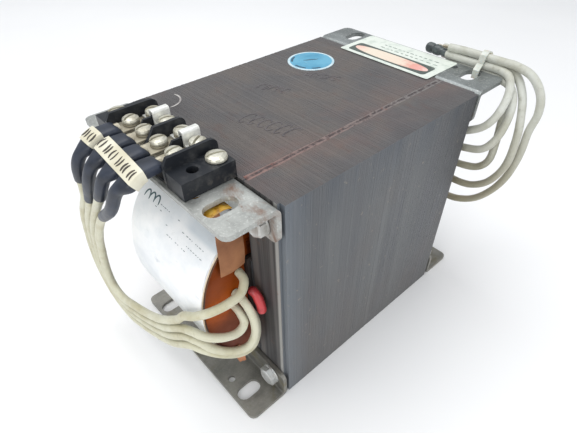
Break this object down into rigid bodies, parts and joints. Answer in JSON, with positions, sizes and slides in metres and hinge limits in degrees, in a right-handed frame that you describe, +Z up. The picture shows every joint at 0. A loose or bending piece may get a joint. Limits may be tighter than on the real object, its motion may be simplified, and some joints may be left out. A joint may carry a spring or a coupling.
{
  "type": "control transformer",
  "caption": "Open-frame laminated power transformer with a horizontal coil, angle mounting feet, a screw terminal block on top and flying leads.",
  "frame": {"origin": "bottom centre, midway between the four feet corners on the plane that the bottom flanges stand on", "axes": "+Z up; -Y is the front, where the terminal block is; +X to the right, the side of the I laminations; the stack and through bolts run along Y"},
  "size_m": [0.1456, 0.2093, 0.1471],
  "materials": {
    "lamination_steel": "blued and lightly rusted lamination edges",
    "zinc_plated_steel": "dull zinc plate with rust stains",
    "bolt_steel": "dull plated steel",
    "kraft_board": "pressed kraft board",
    "enamelled_copper": "varnished copper wire",
    "insulation_film": "amber varnished film",
    "white_wrap": "white outer wrap",
    "fish_paper": "tan fish paper",
    "black_phenolic": "moulded phenolic",
    "nickel_steel": "nickel plated",
    "tinned_brass": "tinned brass",
    "lead_sleeving": "cream woven glass sleeving",
    "red_sleeving": "red glass sleeving",
    "nylon": "natural nylon"
  },
  "bodies": {
    "root": {"block_screw_left": "nickel_steel", "block_screw_right": "nickel_steel", "cable_tie": "nylon", "clamp_bolt_bottom_left": "bolt_steel", "clamp_bolt_bottom_right": "bolt_steel", "clamp_bolt_top_left": "bolt_steel", "clamp_bolt_top_right": "bolt_steel", "clamp_nut_bottom_left": "bolt_steel", "clamp_nut_bottom_right": "bolt_steel", "clamp_nut_top_left": "bolt_steel", "clamp_nut_top_right": "bolt_steel", "coil_wrap": "white_wrap", "core_e_stack": "lamination_steel", "core_i_stack": "lamination_steel", "front_bottom_bracket": "zinc_plated_steel", "front_lead_1": "lead_sleeving", "front_lead_2": "lead_sleeving", "front_lead_3": "lead_sleeving", "front_lead_4": "lead_sleeving", "front_top_bracket": "zinc_plated_steel", "inner_winding": "enamelled_copper", "insulation_flap": "fish_paper", "jumper_link_left": "tinned_brass", "jumper_link_right": "tinned_brass", "outer_winding": "enamelled_copper", "rear_bottom_bracket": "zinc_plated_steel", "rear_lead_1": "lead_sleeving", "rear_lead_2": "lead_sleeving", "rear_lead_3": "lead_sleeving", "rear_lead_4": "lead_sleeving", "rear_lead_5": "lead_sleeving", "rear_top_bracket": "zinc_plated_steel", "red_sleeve": "red_sleeving", "ring_lug_1": "tinned_brass", "ring_lug_2": "tinned_brass", "ring_lug_3": "tinned_brass", "ring_lug_4": "tinned_brass", "terminal_block": "black_phenolic", "terminal_plate_1": "tinned_brass", "terminal_plate_2": "tinned_brass", "terminal_plate_3": "tinned_brass", "terminal_plate_4": "tinned_brass", "winding_insulation": "insulation_film", "winding_tube": "kraft_board"},
    "front_washer_1": {"terminal_washer_front_1": "nickel_steel"},
    "front_screw_1": {"terminal_screw_front_1": "nickel_steel"},
    "front_washer_2": {"terminal_washer_front_2": "nickel_steel"},
    "front_screw_2": {"terminal_screw_front_2": "nickel_steel"},
    "front_washer_3": {"terminal_washer_front_3": "nickel_steel"},
    "front_screw_3": {"terminal_screw_front_3": "nickel_steel"},
    "front_washer_4": {"terminal_washer_front_4": "nickel_steel"},
    "front_screw_4": {"terminal_screw_front_4": "nickel_steel"},
    "rear_washer_1": {"terminal_washer_rear_1": "nickel_steel"},
    "rear_screw_1": {"terminal_screw_rear_1": "nickel_steel"},
    "rear_washer_2": {"terminal_washer_rear_2": "nickel_steel"},
    "rear_screw_2": {"terminal_screw_rear_2": "nickel_steel"},
    "rear_washer_3": {"terminal_washer_rear_3": "nickel_steel"},
    "rear_screw_3": {"terminal_screw_rear_3": "nickel_steel"},
    "rear_washer_4": {"terminal_washer_rear_4": "nickel_steel"},
    "rear_screw_4": {"terminal_screw_rear_4": "nickel_steel"}
  },
  "joints": [
    {"name": "front_screw_1_rise", "type": "slide", "parent": "root", "child": "front_washer_1", "axis": [0, 0, 1], "range_m": [0, 0.00317]},
    {"name": "front_screw_1_turn", "type": "hinge", "parent": "front_washer_1", "child": "front_screw_1", "pos_m": [-0.02109, -0.081, 0.14295], "axis": [0, 0, 1], "range_deg": [0, 1440]},
    {"name": "front_screw_2_rise", "type": "slide", "parent": "root", "child": "front_washer_2", "axis": [0, 0, 1], "range_m": [0, 0.00317]},
    {"name": "front_screw_2_turn", "type": "hinge", "parent": "front_washer_2", "child": "front_screw_2", "pos_m": [-0.00976, -0.081, 0.14295], "axis": [0, 0, 1], "range_deg": [0, 1440]},
    {"name": "front_screw_3_rise", "type": "slide", "parent": "root", "child": "front_washer_3", "axis": [0, 0, 1], "range_m": [0, 0.00317]},
    {"name": "front_screw_3_turn", "type": "hinge", "parent": "front_washer_3", "child": "front_screw_3", "pos_m": [0.00156, -0.081, 0.14295], "axis": [0, 0, 1], "range_deg": [0, 1440]},
    {"name": "front_screw_4_rise", "type": "slide", "parent": "root", "child": "front_washer_4", "axis": [0, 0, 1], "range_m": [0, 0.00317]},
    {"name": "front_screw_4_turn", "type": "hinge", "parent": "front_washer_4", "child": "front_screw_4", "pos_m": [0.0129, -0.081, 0.14295], "axis": [0, 0, 1], "range_deg": [0, 1440]},
    {"name": "rear_screw_1_rise", "type": "slide", "parent": "root", "child": "rear_washer_1", "axis": [0, 0, 1], "range_m": [0, 0.00317]},
    {"name": "rear_screw_1_turn", "type": "hinge", "parent": "rear_washer_1", "child": "rear_screw_1", "pos_m": [-0.02109, -0.0704, 0.14295], "axis": [0, 0, 1], "range_deg": [0, 1440]},
    {"name": "rear_screw_2_rise", "type": "slide", "parent": "root", "child": "rear_washer_2", "axis": [0, 0, 1], "range_m": [0, 0.00317]},
    {"name": "rear_screw_2_turn", "type": "hinge", "parent": "rear_washer_2", "child": "rear_screw_2", "pos_m": [-0.00976, -0.0704, 0.14295], "axis": [0, 0, 1], "range_deg": [0, 1440]},
    {"name": "rear_screw_3_rise", "type": "slide", "parent": "root", "child": "rear_washer_3", "axis": [0, 0, 1], "range_m": [0, 0.00317]},
    {"name": "rear_screw_3_turn", "type": "hinge", "parent": "rear_washer_3", "child": "rear_screw_3", "pos_m": [0.00156, -0.0704, 0.14295], "axis": [0, 0, 1], "range_deg": [0, 1440]},
    {"name": "rear_screw_4_rise", "type": "slide", "parent": "root", "child": "rear_washer_4", "axis": [0, 0, 1], "range_m": [0, 0.00317]},
    {"name": "rear_screw_4_turn", "type": "hinge", "parent": "rear_washer_4", "child": "rear_screw_4", "pos_m": [0.0129, -0.0704, 0.14295], "axis": [0, 0, 1], "range_deg": [0, 1440]}
  ],
  "couplings": [
    {"joint": "front_screw_1_turn", "follows": "front_screw_1_rise", "rad_per_m": 7915.8},
    {"joint": "front_screw_2_turn", "follows": "front_screw_2_rise", "rad_per_m": 7915.8},
    {"joint": "front_screw_3_turn", "follows": "front_screw_3_rise", "rad_per_m": 7915.8},
    {"joint": "front_screw_4_turn", "follows": "front_screw_4_rise", "rad_per_m": 7915.8},
    {"joint": "rear_screw_1_turn", "follows": "rear_screw_1_rise", "rad_per_m": 7915.8},
    {"joint": "rear_screw_2_turn", "follows": "rear_screw_2_rise", "rad_per_m": 7915.8},
    {"joint": "rear_screw_3_turn", "follows": "rear_screw_3_rise", "rad_per_m": 7915.8},
    {"joint": "rear_screw_4_turn", "follows": "rear_screw_4_rise", "rad_per_m": 7915.8}
  ]
}
